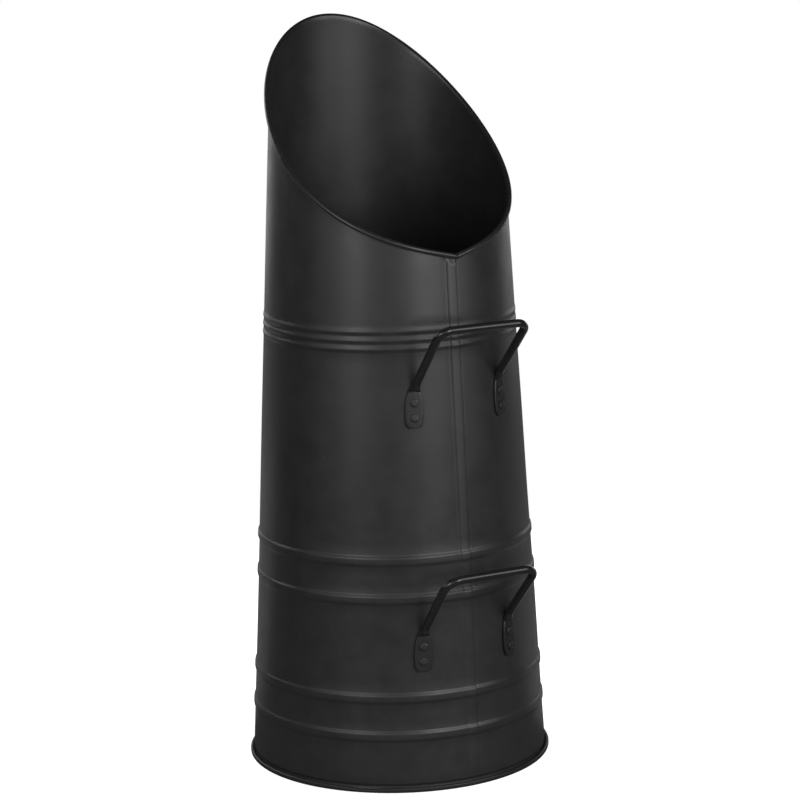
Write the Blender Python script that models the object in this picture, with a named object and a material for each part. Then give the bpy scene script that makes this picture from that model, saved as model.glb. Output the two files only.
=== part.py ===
"""A tall steel log carrier: a tapered hod rolled from sheet, with two rod handles by its seam.

Frame: metres, +Z up, origin at the centre of the base's underside. The middle of both handles
faces -Y, and the mouth is cut on a slope that rises to its highest point at +Y. Angles round the
body are measured from -Y, towards +X.
"""

from math import asin, cos, exp, pi, radians, sin, tan
from typing import NamedTuple

import bmesh
import bpy
from mathutils import Matrix, Vector

# Clearances between pieces that touch on the real object
SEAT_GAP = 0.0003
HOLE_CLEARANCE = 0.0003
WIRE_CLEARANCE = 0.00025
CUT_OVERRUN = 0.002
MIRROR_MERGE = 0.00001

# Body: one sheet rolled into a cone
SHEET = 0.0006
FLOOR_RADIUS = 0.115
LIP_RADIUS = 0.0847
LIP_HEIGHT = 0.5695
BODY_COLUMNS = 48

# Mouth: height of the roll's centre, from the handles' side round to the lip
MOUTH_FRONT_HEIGHT = 0.4105
MOUTH_SIDE_DIP = 0.012
JOINT_DIP = 0.0085
JOINT_DIP_FADE = radians(20)

# Roll round the mouth, closed over a wire
WIRE_RADIUS = 0.001
ROLL_TURN = radians(300)
ROLL_STEPS = 8
WIRE_SIDES = 6

# Swaged beads: two pairs of wide ones, and three fine ones that run together
BEAD_RISE = 0.0011
BEAD_WIDTH = 0.0098
PAIR_PITCH = 0.0293
LOWER_PAIR_HEIGHT = 0.0574
MIDDLE_PAIR_HEIGHT = 0.1624
FINE_BEAD_RISE = 0.0007
FINE_BEAD_PITCH = 0.0065
FINE_BEADS_HEIGHT = 0.3429
BEAD_OUTLINE_SHARES = ((-0.5, 0.0), (-0.2, 1.0), (0.2, 1.0), (0.5, 0.0))
FINE_OUTLINE_SHARES = ((0.0, 1.0), (0.5, 0.0))

# Seam: the hooked edges of the sheet, pressed flat into a raised strip that ends at the joint
JOINT_ANGLE = radians(1.2)
SEAM_WIDTH = 0.0074
SEAM_RISE = 0.0012
SEAM_SHOULDER = 0.0008
SEAM_CREASE = 0.0002
SEAM_END_LENGTH = 0.0015
SEAM_NOTCH = 0.003

# Base: a disc whose edge is folded over the body's turned-up flange
BASE_SHEET = 0.0006
RIM_HEIGHT = 0.004

# Handles: rods flattened into a tab at each end
ROD_RADIUS = 0.00315
TAB_THICKNESS = 0.002
TAB_WIDTH = 0.014
TAB_LENGTH = 0.0278
TAB_HALF_SPAN = 0.038
TAB_LEAN = 0.0009
TAB_OUTLINE_SHARES = ((0.0, 0.62), (0.06, 0.84), (0.2, 0.96), (0.45, 1.0), (0.75, 0.9), (1.0, 0.66))
TAB_SQUARENESS = 5.0
SHOULDER_LENGTH = 0.0055
SHOULDER_SHARES = (0.35, 0.75)
LEG_INSET = 0.002
FOOT_BEND_RADIUS = 0.006
CORNER_BEND_RADIUS = 0.012
BEND_STEPS = 5
ROD_SIDES = 12
ROD_SQUARENESS = 2.0

# Places and reaches of the two handles
UPPER_TAB_HEIGHT = 0.2772
UPPER_REACH = 0.0388
UPPER_RISE = 0.0457
UPPER_BAR_HALF_SPAN = 0.0381
LOWER_TAB_HEIGHT = 0.0927
LOWER_REACH = 0.0355
LOWER_RISE = 0.0447
LOWER_BAR_HALF_SPAN = 0.0392

# Rivets: two at each end of each handle
RIVET_RADIUS = 0.0015
HEAD_RADIUS = 0.0032
HEAD_HEIGHT = 0.0013
TAIL_RADIUS = 0.0026
TAIL_HEIGHT = 0.0013
RIVET_EDGE_DISTANCE = 0.0076
RIVET_PITCH = 0.0114
RIVET_SIDES = 12
HEAD_OUTLINE_SHARES = ((1.0, 0.0), (0.9, 0.45), (0.6, 0.85), (0.25, 1.0))
TAIL_OUTLINE_SHARES = ((0.6, 1.0), (0.92, 0.7), (1.0, 0.0))

# Finishes: colour, roughness, metallic
BLACK_SHEET = ((0.021, 0.021, 0.022), 0.42, 0.0)
BLACK_ROD = ((0.012, 0.012, 0.013), 0.34, 0.0)
BLACK_RIVET = ((0.018, 0.018, 0.019), 0.38, 0.0)
PLAIN_WIRE = ((0.48, 0.47, 0.45), 0.38, 1.0)
SMOOTH_ANGLE = radians(35)

# Sizes that follow from the ones above
TAPER = (FLOOR_RADIUS - LIP_RADIUS) / LIP_HEIGHT
ROLL_INNER_RADIUS = WIRE_RADIUS + WIRE_CLEARANCE
ROLL_OUTER_RADIUS = ROLL_INNER_RADIUS + SHEET
HOLE_RADIUS = RIVET_RADIUS + HOLE_CLEARANCE
FLANGE_HEIGHT = BASE_SHEET + SEAT_GAP
FLANGE_RADIUS = FLOOR_RADIUS + SEAT_GAP + BASE_SHEET + SEAT_GAP
FLANGE_TOP = RIM_HEIGHT - BASE_SHEET - SEAT_GAP
RIM_RADIUS = FLANGE_RADIUS + SHEET + SEAT_GAP + BASE_SHEET


class Handle(NamedTuple):
    name: str
    tab_height: float
    reach: float
    rise: float
    bar_half_span: float


HANDLES = (
    Handle("upper", UPPER_TAB_HEIGHT, UPPER_REACH, UPPER_RISE, UPPER_BAR_HALF_SPAN),
    Handle("lower", LOWER_TAB_HEIGHT, LOWER_REACH, LOWER_RISE, LOWER_BAR_HALF_SPAN),
)


def clear_scene():
    for old in list(bpy.data.objects):
        bpy.data.objects.remove(old, do_unlink=True)


def around(angle):
    """Level direction that points away from the axis."""
    return Vector((sin(angle), -cos(angle), 0))


def at_height(height):
    return Vector((0, 0, height))


def wall_radius(height):
    """Outer radius of the plain cone."""
    return FLOOR_RADIUS - TAPER * height


def on_wall(angle, height, proud=0):
    """Point at a distance outside the wall, or inside it where the distance is negative."""
    return around(angle) * (wall_radius(height) + proud) + at_height(height)


def wall_normal(angle):
    return (around(angle) + at_height(TAPER)).normalized()


def mouth_height(angle):
    """Height of the roll's centre: a sloping cut, low at the sides, with a dip at the joint."""
    from_joint = abs((angle - JOINT_ANGLE + pi) % (2 * pi) - pi)
    slope = (LIP_HEIGHT - MOUTH_FRONT_HEIGHT) * (1 - cos(angle)) / 2
    side = MOUTH_SIDE_DIP * sin(angle) ** 2
    dip = JOINT_DIP * exp(-from_joint / JOINT_DIP_FADE)
    return MOUTH_FRONT_HEIGHT + slope - side - dip


def roll_centre(angle):
    return on_wall(angle, mouth_height(angle), ROLL_INNER_RADIUS)


def roll_frame(angle):
    """Centre of the roll, with its outward and upward directions across the mouth's edge."""
    half_step = pi / BODY_COLUMNS
    along = (roll_centre(angle + half_step) - roll_centre(angle - half_step)).normalized()
    out = wall_normal(angle)
    return roll_centre(angle), out, out.cross(along).normalized()


def columns(radius):
    """Angle of each column round the body, and its share of the seam's rise."""
    top_edge = JOINT_ANGLE - SEAM_WIDTH / radius
    shoulder_foot = top_edge - SEAM_SHOULDER / radius
    crease = JOINT_ANGLE + SEAM_CREASE / radius
    seam = [(shoulder_foot, 0), (top_edge, 1), (JOINT_ANGLE, 1), (crease, 0)]
    return seam + [(2 * pi * step / BODY_COLUMNS, 0) for step in range(1, BODY_COLUMNS)]


def level_ring(radius, height):
    return [around(angle) * radius + at_height(height) for angle, _ in columns(radius)]


def wall_ring(height, proud=0, seam_rise=0):
    radius = wall_radius(height)
    return [on_wall(angle, height, proud + share * seam_rise) for angle, share in columns(radius)]


def edge_ring(drop, seam_rise):
    """Ring on the wall's outside that follows the mouth's edge at a distance below it."""
    ring = []
    for angle, share in columns(wall_radius(MOUTH_FRONT_HEIGHT)):
        ring.append(on_wall(angle, mouth_height(angle) - drop, share * seam_rise))
    return ring


def roll_ring(radius, turn):
    """Ring in the roll, turned from the wall over the wire and outwards."""
    ring = []
    for angle, _ in columns(wall_radius(MOUTH_FRONT_HEIGHT)):
        centre, out, up = roll_frame(angle)
        ring.append(centre + (out * cos(pi - turn) + up * sin(pi - turn)) * radius)
    return ring


def bead_levels():
    """Height and rise of each crease of the beads, from the bottom up."""
    levels = []
    for pair_height in (LOWER_PAIR_HEIGHT, MIDDLE_PAIR_HEIGHT):
        for side in (-1, 1):
            centre = pair_height + side * PAIR_PITCH / 2
            for place, rise in BEAD_OUTLINE_SHARES:
                levels.append((centre + place * BEAD_WIDTH, rise * BEAD_RISE))
    levels.append((FINE_BEADS_HEIGHT - FINE_BEAD_PITCH * 3 / 2, 0))
    for bead in (-1, 0, 1):
        for place, rise in FINE_OUTLINE_SHARES:
            height = FINE_BEADS_HEIGHT + (bead + place) * FINE_BEAD_PITCH
            levels.append((height, rise * FINE_BEAD_RISE))
    return levels


def body_rings():
    """Rings of the body sheet: flange, wall outside, roll, and wall inside back to the flange."""
    foot = FLANGE_HEIGHT + SHEET
    seam_foot = RIM_HEIGHT + SEAT_GAP
    notch = ROLL_OUTER_RADIUS + SEAM_NOTCH
    turns = [ROLL_TURN * step / ROLL_STEPS for step in range(ROLL_STEPS + 1)]
    flange = [
        level_ring(FLANGE_RADIUS + SHEET, FLANGE_HEIGHT),
        level_ring(FLANGE_RADIUS + SHEET, FLANGE_TOP),
        level_ring(FLANGE_RADIUS, FLANGE_TOP),
        level_ring(FLANGE_RADIUS, foot),
    ]
    outside = [wall_ring(foot), wall_ring(seam_foot)]
    outside.append(wall_ring(seam_foot + SEAM_END_LENGTH, 0, SEAM_RISE))
    outside += [wall_ring(height, rise, SEAM_RISE) for height, rise in bead_levels()]
    outside += [edge_ring(notch + SEAM_END_LENGTH, SEAM_RISE), edge_ring(notch, 0)]
    roll = [roll_ring(ROLL_INNER_RADIUS, turn) for turn in turns]
    roll += [roll_ring(ROLL_OUTER_RADIUS, turn) for turn in reversed(turns)]
    inside = [wall_ring(height, rise - SHEET) for height, rise in reversed(bead_levels())]
    inside.append(wall_ring(FLANGE_HEIGHT, -SHEET))
    return flange + outside + roll + inside


def loft(rings, closed=False, cap_end=True):
    """Mesh through rings of equal length. A closed one meets itself, and others have capped ends."""
    mesh = bmesh.new()
    rows = [[mesh.verts.new(point) for point in ring] for ring in rings]
    pairs = list(zip(rows, rows[1:]))
    if closed:
        pairs.append((rows[-1], rows[0]))
    for low, high in pairs:
        for here in range(len(low)):
            after = (here + 1) % len(low)
            mesh.faces.new((low[here], low[after], high[after], high[here]))
    if not closed:
        mesh.faces.new(list(reversed(rows[0])))
    if cap_end and not closed:
        mesh.faces.new(rows[-1])
    bmesh.ops.recalc_face_normals(mesh, faces=mesh.faces)
    return mesh


def material(name, finish):
    colour, roughness, metallic = finish
    made = bpy.data.materials.new(name)
    made.use_nodes = True
    shader = made.node_tree.nodes["Principled BSDF"]
    shader.inputs["Base Color"].default_value = (*colour, 1)
    shader.inputs["Roughness"].default_value = roughness
    shader.inputs["Metallic"].default_value = metallic
    return made


def mesh_data(name, mesh, finish=None):
    """Blender mesh of a finished shape, smooth but for its sharp edges."""
    data = bpy.data.meshes.new(name)
    mesh.to_mesh(data)
    mesh.free()
    data.shade_smooth()
    data.set_sharp_from_angle(angle=SMOOTH_ANGLE)
    if finish:
        data.materials.append(finish)
    return data


def add_object(name, data):
    added = bpy.data.objects.new(name, data)
    bpy.context.collection.objects.link(added)
    return added


def cut(target, cutter):
    holes = target.modifiers.new("Rivet holes", "BOOLEAN")
    holes.operation = "DIFFERENCE"
    holes.object = cutter


def make_body(cutter):
    finish = material("black_coated_sheet", BLACK_SHEET)
    body = add_object("body_sheet", mesh_data("body_sheet", loft(body_rings(), closed=True), finish))
    cut(body, cutter)


def make_base():
    """Flat disc on the floor: its edge turns up, over the body's flange and down inside it."""
    lip_inside = FLOOR_RADIUS + SEAT_GAP
    lip_outside = lip_inside + BASE_SHEET
    lip_foot = FLANGE_HEIGHT + SHEET + SEAT_GAP
    outline = (
        (RIM_RADIUS - BASE_SHEET, 0),
        (RIM_RADIUS, BASE_SHEET),
        (RIM_RADIUS, RIM_HEIGHT - BASE_SHEET),
        (RIM_RADIUS - BASE_SHEET, RIM_HEIGHT),
        (lip_inside, RIM_HEIGHT),
        (lip_inside, lip_foot),
        (lip_outside, lip_foot),
        (lip_outside, RIM_HEIGHT - BASE_SHEET),
        (RIM_RADIUS - BASE_SHEET, RIM_HEIGHT - BASE_SHEET),
        (RIM_RADIUS - BASE_SHEET, BASE_SHEET),
    )
    disc = loft([level_ring(radius, height) for radius, height in outline])
    add_object("base_plate", mesh_data("base_plate", disc, material("black_coated_base", BLACK_SHEET)))


def make_wire():
    turns = [2 * pi * side / WIRE_SIDES for side in range(WIRE_SIDES)]
    rings = []
    for angle, _ in columns(wall_radius(MOUTH_FRONT_HEIGHT)):
        centre, out, up = roll_frame(angle)
        rings.append([centre + (out * cos(t) + up * sin(t)) * WIRE_RADIUS for t in turns])
    wire = loft(rings, closed=True)
    add_object("rim_wire", mesh_data("rim_wire", wire, material("plain_steel_wire", PLAIN_WIRE)))


def tab_frame(tab_height, side=1):
    """Foot of a tab on the wall, with its directions away from the bar, up the wall and out."""
    angle = side * asin(TAB_HALF_SPAN / wall_radius(tab_height + TAB_LENGTH / 2))
    across = around(angle + pi / 2) * side
    up = (at_height(1) - around(angle) * TAPER).normalized()
    return on_wall(angle, tab_height), across, up, wall_normal(angle)


def bend(before, corner, after, radius):
    """Points of the arc that rounds a corner of the rod's centre line."""
    arrive = (corner - before).normalized()
    leave = (after - corner).normalized()
    turn = arrive.angle(leave)
    side = (leave - arrive * arrive.dot(leave)).normalized()
    start = corner - arrive * radius * tan(turn / 2)
    points = []
    for step in range(BEND_STEPS + 1):
        angle = turn * step / BEND_STEPS
        points.append(start + (arrive * sin(angle) + side * (1 - cos(angle))) * radius)
    return points


def handle_stations(handle):
    """Centre, width, thickness and squareness along half a handle, from tab to middle of the bar."""
    foot, across, up, out = tab_frame(handle.tab_height)
    tab_back = foot + out * (SEAT_GAP + TAB_THICKNESS / 2)
    stations = []
    for place, width in TAB_OUTLINE_SHARES:
        centre = tab_back + (up * TAB_LENGTH - across * TAB_LEAN) * place
        stations.append((centre, width * TAB_WIDTH, TAB_THICKNESS, TAB_SQUARENESS))
    rod_back = foot + out * (SEAT_GAP + ROD_RADIUS)
    heel = rod_back + up * (TAB_LENGTH + SHOULDER_LENGTH) - across * LEG_INSET
    bar_depth = wall_radius(heel.z) + handle.reach
    corner = Vector((handle.bar_half_span, -bar_depth, heel.z + handle.rise))
    middle = Vector((0, corner.y, corner.z))
    heel_bend = bend(heel - up * TAB_LENGTH, heel, corner, FOOT_BEND_RADIUS)
    top_centre, top_width, _, _ = stations[-1]
    rod_size = 2 * ROD_RADIUS
    for share in SHOULDER_SHARES:
        centre = top_centre.lerp(heel_bend[0], share)
        width = top_width + (rod_size - top_width) * share
        thickness = TAB_THICKNESS + (rod_size - TAB_THICKNESS) * share
        squareness = TAB_SQUARENESS + (ROD_SQUARENESS - TAB_SQUARENESS) * share
        stations.append((centre, width, thickness, squareness))
    rod = heel_bend + bend(heel, corner, middle, CORNER_BEND_RADIUS) + [middle]
    stations += [(centre, rod_size, rod_size, ROD_SQUARENESS) for centre in rod]
    return stations, across


def section(centre, side, depth, width, thickness, squareness):
    """Ring that is round where the squareness is 2 and nearly a rectangle where it is high."""
    ring = []
    for step in range(ROD_SIDES):
        turn = 2 * pi * step / ROD_SIDES
        x = abs(cos(turn)) ** (2 / squareness) * (1 if cos(turn) >= 0 else -1)
        y = abs(sin(turn)) ** (2 / squareness) * (1 if sin(turn) >= 0 else -1)
        ring.append(centre + side * x * width / 2 + depth * y * thickness / 2)
    return ring


def handle_half(handle):
    """Loft from the tab's foot to the open end at the middle of the bar."""
    stations, side = handle_stations(handle)
    centres = [station[0] for station in stations]
    rings = []
    for here, (centre, width, thickness, squareness) in enumerate(stations):
        before = centres[max(here - 1, 0)]
        after = centres[min(here + 1, len(centres) - 1)]
        along = (after - before).normalized()
        side = (side - along * side.dot(along)).normalized()
        rings.append(section(centre, side, along.cross(side), width, thickness, squareness))
    return loft(rings, cap_end=False)


def make_handle(handle, finish, cutter):
    """Half a handle, mirrored at the middle of its bar."""
    half = handle_half(handle)
    bmesh.ops.translate(half, verts=half.verts, vec=at_height(-handle.tab_height))
    name = f"handle_{handle.name}"
    made = add_object(name, mesh_data(name, half, finish))
    made.location = at_height(handle.tab_height)
    mirror = made.modifiers.new("Other half", "MIRROR")
    mirror.use_axis[0] = True
    mirror.use_clip = True
    mirror.merge_threshold = MIRROR_MERGE
    cut(made, cutter)


def rivet_seats(handle):
    """Name, point on the wall and outward turn of each rivet of a handle."""
    seats = []
    for side_name, side in (("left", -1), ("right", 1)):
        foot, across, up, out = tab_frame(handle.tab_height, side)
        for row_name, row in (("bottom", 0), ("top", 1)):
            climb = RIVET_EDGE_DISTANCE + row * RIVET_PITCH
            point = foot + up * climb - across * TAB_LEAN * climb / TAB_LENGTH
            name = f"rivet_{handle.name}_{side_name}_{row_name}"
            seats.append((name, point, out.to_track_quat("Z", "Y")))
    return seats


def rivet_mesh():
    """Turned about Z: tail inside the body, shank through wall and tab, domed head outside."""
    tail_seat = -SHEET - SEAT_GAP
    head_seat = SEAT_GAP + TAB_THICKNESS + SEAT_GAP
    outline = [(TAIL_RADIUS * r, tail_seat - TAIL_HEIGHT * z) for r, z in TAIL_OUTLINE_SHARES]
    outline += [(RIVET_RADIUS, tail_seat), (RIVET_RADIUS, head_seat)]
    outline += [(HEAD_RADIUS * r, head_seat + HEAD_HEIGHT * z) for r, z in HEAD_OUTLINE_SHARES]
    turns = [2 * pi * side / RIVET_SIDES for side in range(RIVET_SIDES)]
    rings = [[Vector((r * cos(t), r * sin(t), z)) for t in turns] for r, z in outline]
    return mesh_data("rivet", loft(rings), material("black_coated_rivet", BLACK_RIVET))


def make_rivets():
    shared = rivet_mesh()
    for handle in HANDLES:
        for name, point, turn in rivet_seats(handle):
            rivet = add_object(name, shared)
            rivet.location = point
            rivet.rotation_euler = turn.to_euler()


def make_hole_cutter():
    """Pins through every tab and the wall behind it, one for each rivet."""
    inner_end = -SHEET - CUT_OVERRUN
    outer_end = SEAT_GAP + TAB_THICKNESS + CUT_OVERRUN
    middle = at_height((inner_end + outer_end) / 2)
    pins = bmesh.new()
    for handle in HANDLES:
        for _, point, turn in rivet_seats(handle):
            place = Matrix.Translation(point) @ turn.to_matrix().to_4x4() @ Matrix.Translation(middle)
            bmesh.ops.create_cone(
                pins,
                cap_ends=True,
                segments=RIVET_SIDES,
                radius1=HOLE_RADIUS,
                radius2=HOLE_RADIUS,
                depth=outer_end - inner_end,
                matrix=place,
            )
    cutter = add_object("rivet_hole_cutter", mesh_data("rivet_hole_cutter", pins))
    cutter.hide_render = True
    cutter.display_type = "WIRE"
    return cutter


def main():
    clear_scene()
    cutter = make_hole_cutter()
    make_body(cutter)
    make_base()
    make_wire()
    rod_finish = material("black_coated_rod", BLACK_ROD)
    for handle in HANDLES:
        make_handle(handle, rod_finish, cutter)
    make_rivets()


main()
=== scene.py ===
"""Log carrier in satin black powder coat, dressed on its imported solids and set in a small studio.

Frame: metres, +Z up, the hod's axis on Z, its handles and its sheet's joint on the -Y side.
Angles round the hod are measured from -Y, towards +X.
"""

from math import asin, atan2, cos, exp, hypot, pi, radians, sin, tan
from typing import Callable, NamedTuple

import bmesh
import bpy
from bpy.props import FloatProperty, FloatVectorProperty, PointerProperty
from mathutils import Matrix, Vector, noise


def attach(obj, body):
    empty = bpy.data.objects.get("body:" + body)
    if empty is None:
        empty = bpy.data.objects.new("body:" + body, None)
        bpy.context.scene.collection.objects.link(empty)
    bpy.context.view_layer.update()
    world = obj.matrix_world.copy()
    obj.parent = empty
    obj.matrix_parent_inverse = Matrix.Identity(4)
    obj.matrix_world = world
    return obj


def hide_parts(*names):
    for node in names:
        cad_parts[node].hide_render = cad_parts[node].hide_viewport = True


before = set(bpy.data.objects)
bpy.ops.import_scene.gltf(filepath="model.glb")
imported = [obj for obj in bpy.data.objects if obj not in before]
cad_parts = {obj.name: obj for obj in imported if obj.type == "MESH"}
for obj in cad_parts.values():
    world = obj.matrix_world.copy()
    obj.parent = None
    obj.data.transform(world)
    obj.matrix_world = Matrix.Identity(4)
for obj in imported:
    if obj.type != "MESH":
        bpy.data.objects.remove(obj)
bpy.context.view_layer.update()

bl_info = {
    "name": "Log Carrier",
    "version": (1, 0, 0),
    "blender": (4, 5, 0),
    "location": "View3D > Sidebar > Hod",
    "description": "Makes a black sheet-steel log carrier and the studio that it stands in",
    "category": "Add Mesh",
}

MM = 0.001
BODY_NAME = "root"
MERGE_DISTANCE = 0.01 * MM

# Faces that meet at more than this are shaded with a sharp edge between them
SHARP_ANGLE = radians(38)

# Clearance between pieces that touch, as in the solids
SEAT_GAP = 0.3 * MM

# How finely each piece is drawn out. The crown's rows crowd together towards the mouth.
BODY_COLUMNS = 224
BEAD_ROWS = 16
FINE_BEAD_ROWS = 8
PLAIN_ROW_PITCH = 9 * MM
NECK_ROWS = 6
CROWN_ROWS = 28
CROWN_CROWDING = 1.6
ROLL_ROWS = 14
FOLD_ROWS = 10
ROD_SIDES = 28
TAB_ROWS = 18
SHOULDER_ROWS = 6
BEND_ROWS = 10
RIVET_SIDES = 28
HEAD_ROWS = 7

# Heights of the middle of each group of beads, and of the crown, which slopes up to the mouth
LOWER_PAIR_HEIGHT = 57.4 * MM
MIDDLE_PAIR_HEIGHT = 162.4 * MM
FINE_BEADS_HEIGHT = 342.9 * MM
CROWN_FOOT = 354.5 * MM

# Shape of a wide bead: each soft edge as a share of its width, and how much lower its crown is
# towards them as a share of its rise
BEAD_EDGE_SHARE = 0.31
BEAD_CROWN_SHARE = 0.12

# Number of fine beads, and the share by which they fade out to the right of the joint, with the
# place of that, counted from -Y, and how far round it reaches
FINE_BEADS = 3
FINE_FADE = 0.6
FINE_FADE_PLACE = radians(37)
FINE_FADE_SPAN = radians(20)

# How fast the sheet's waves change up the hod, as a share of how fast they change round it
DENT_CLIMB_SHARE = 0.7

# Neck where the wall draws in behind the base's fold
NECK_WIDTH = 2.6 * MM
NECK_DEPTH = 0.9 * MM

# Cross-section of the seam strip, from the sheet's sink on its left to the groove at the joint on
# its right, as shares of its width and rise
SEAM_OUTLINE_SHARES = (
    (-1.75, 0.0),
    (-1.5, -0.08),
    (-1.28, -0.22),
    (-1.12, -0.26),
    (-1.03, -0.02),
    (-0.96, 0.24),
    (-0.87, 0.44),
    (-0.74, 0.6),
    (-0.58, 0.77),
    (-0.4, 0.92),
    (-0.24, 1.01),
    (-0.12, 1.04),
    (-0.03, 0.9),
    (0.0, 0.6),
    (0.01, -0.36),
    (0.1, -0.4),
    (0.15, -0.24),
    (0.2, -0.04),
    (0.26, 0.0),
)

# First and last of the body's even columns, which leave room for the seam's own
FIRST_COLUMN = 2
LAST_COLUMN = BODY_COLUMNS - 5

# Share of its rise that the seam keeps at its foot, where it is pressed flat, and the heights
# from which the seam and the sink are full
SEAM_FOOT_SHARE = 0.4
SEAM_FULL_HEIGHT = 150 * MM
SINK_FULL_HEIGHT = 330 * MM

# Distance of the seam's end from the roll, and the length over which it ends
SEAM_NOTCH = 1 * MM
SEAM_END = 1.5 * MM

# Small pit in the seam under the roll, counted from the joint and from the roll's centre
PIT_ACROSS = -2.9 * MM
PIT_BELOW = 4.4 * MM
PIT_RADIUS = 1.2 * MM
PIT_DEPTH = 1.1 * MM

# How far the mouth's edge is rolled over, how far below it the roll still holds the sheet true,
# and the groove at the roll's joint
ROLL_TURN = radians(300)
MOUTH_STIFFENING = 12 * MM
ROLL_GROOVE = 0.8 * MM
ROLL_GROOVE_SPAN = radians(0.3)

# The base's fold: its corners are the edges that turn by more than an angle, and are rounded by a
# share of the sheet's thickness. It is uneven, with one knock in it, counted from -Y.
FOLD_CORNER = radians(30)
FOLD_ROUNDING = 0.4
RIM_WAVE = 0.5 * MM
RIM_WAVES = 5.0
RIM_KNOCK = 1.1 * MM
RIM_KNOCK_PLACE = radians(-43)
RIM_KNOCK_SPAN = radians(6)

# Width of a tab up its length, from the foot to the shoulder, as shares of both
TAB_OUTLINE_SHARES = ((0.0, 0.6), (0.05, 0.8), (0.18, 0.95), (0.45, 1.0), (0.75, 0.9), (1.0, 0.66))

# Rounding of a tab's foot, and how square the sections of a tab and of a rod are
TAB_EDGE = 0.35 * MM
TAB_SQUARENESS = 6
ROD_SQUARENESS = 2

# Upset end of a rivet, from its tip to the wall, as shares of its radius and height
TAIL_OUTLINE_SHARES = ((0.6, 1), (0.92, 0.7), (1, 0))

# How flat a rivet's head is, and the marks that the hammer left on it
HEAD_FLATNESS = 0.48
HAMMER_SIZE = 2.2 * MM
HAMMER_DEPTH = 0.3 * MM

# Real sizes of the coat's patterns. The peel and the dust are drawn a little coarser, to show.
CLOUD_SIZE = 18 * MM
PEEL_SIZE = 1.5 * MM
DUST_SPACING = 16 * MM
DUST_RADIUS = 0.5 * MM

# Strength of the patterns: the noise at which the clouds are thinnest and thickest, what they
# change in roughness and in tone, and the share of the dust's specks that show, and how strongly
CLOUD_THIN = 0.3
CLOUD_THICK = 0.7
CLOUDINESS = 0.04
SMUDGES = 0.09
DUST_SHARE = 0.3
DUST_STRENGTH = 0.5
DUST_GREY = "8a8884"

# Roughness of each coat, and the height of its orange peel
COAT_IOR = 1.5
SHEET_COAT = (0.38, 0.05 * MM)
BASE_COAT = (0.46, 0.05 * MM)
ROD_COAT = (0.13, 0.02 * MM)
RIVET_COAT = (0.42, 0.03 * MM)

# Roughness that forging adds to the tabs' coat, and that wear takes from the mouth's roll, and
# the share by which the coat is painted darker inside the hod, as painted shade
TAB_DULLNESS = 0.22
ROLL_DULLNESS = -0.12
PAINTED_INSIDE_SHADE = 0.2

# Spacing of the lines that drawing leaves on the wire, and its least and greatest roughness
WIRE_GRAIN = 0.8 * MM
WIRE_SMOOTH = 0.3
WIRE_ROUGH = 0.5


def length(name, description, default):
    return FloatProperty(name=name, description=description, default=default, unit="LENGTH", min=0)


def rotation(name, description, default):
    return FloatProperty(name=name, description=description, default=default, unit="ROTATION")


def linear(hex_colour):
    """Scene-linear red, green and blue of an sRGB hex colour."""
    shares = [int(hex_colour[at : at + 2], 16) / 255 for at in (0, 2, 4)]
    return [s / 12.92 if s <= 0.04045 else ((s + 0.055) / 1.055) ** 2.4 for s in shares]


def colour(name, description, hex_colour):
    return FloatVectorProperty(
        name=name,
        description=description,
        default=linear(hex_colour),
        subtype="COLOR",
        min=0,
        max=1,
    )


class HodSizes(bpy.types.PropertyGroup):
    """Sizes of the rolled body and of its base."""

    floor_radius: length("Floor radius", "Outside of the body at the floor", 115 * MM)
    lip_radius: length("Lip radius", "Outside of the body at the lip's height", 84.7 * MM)
    lip_height: length("Lip height", "Highest point of the mouth's roll centre", 569.1 * MM)
    sheet: length("Sheet", "Thickness of the body's and the base's sheet", 0.6 * MM)
    mouth_front: length("Mouth front", "Height of the slope's low side, before the dip", 410.5 * MM)
    mouth_side_dip: length("Side dip", "How far the mouth sags at its sides", 12 * MM)
    joint_dip: length("Joint dip", "How far the mouth drops to the joint", 8.5 * MM)
    joint_fade: rotation("Joint fade", "How far round the dip at the joint reaches", radians(20))
    roll_radius: length("Roll radius", "Inside of the mouth's roll, loose on its wire", 1.5 * MM)
    bead_rise: length("Bead rise", "Height of the wide beads over the wall", 1.1 * MM)
    bead_width: length("Bead width", "Width of a wide bead", 9.8 * MM)
    pair_pitch: length("Pair pitch", "Distance between the two beads of a pair", 29.3 * MM)
    fine_rise: length("Fine rise", "Height of the fine beads over the wall", 0.6 * MM)
    fine_pitch: length("Fine pitch", "Distance between the fine beads", 6.5 * MM)
    joint_angle: rotation("Joint angle", "Place of the sheet's joint round the hod", radians(1.2))
    seam_width: length("Seam width", "Width of the folded seam strip", 7.4 * MM)
    seam_rise: length("Seam rise", "Height of the seam strip over the wall", 1.2 * MM)
    rim_height: length("Rim height", "Height of the base's folded edge", 4 * MM)
    dent_depth: length("Dent depth", "Waviness of the rolled sheet", 0.35 * MM)
    dent_size: length("Dent size", "Length of the sheet's waves", 70 * MM)


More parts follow.
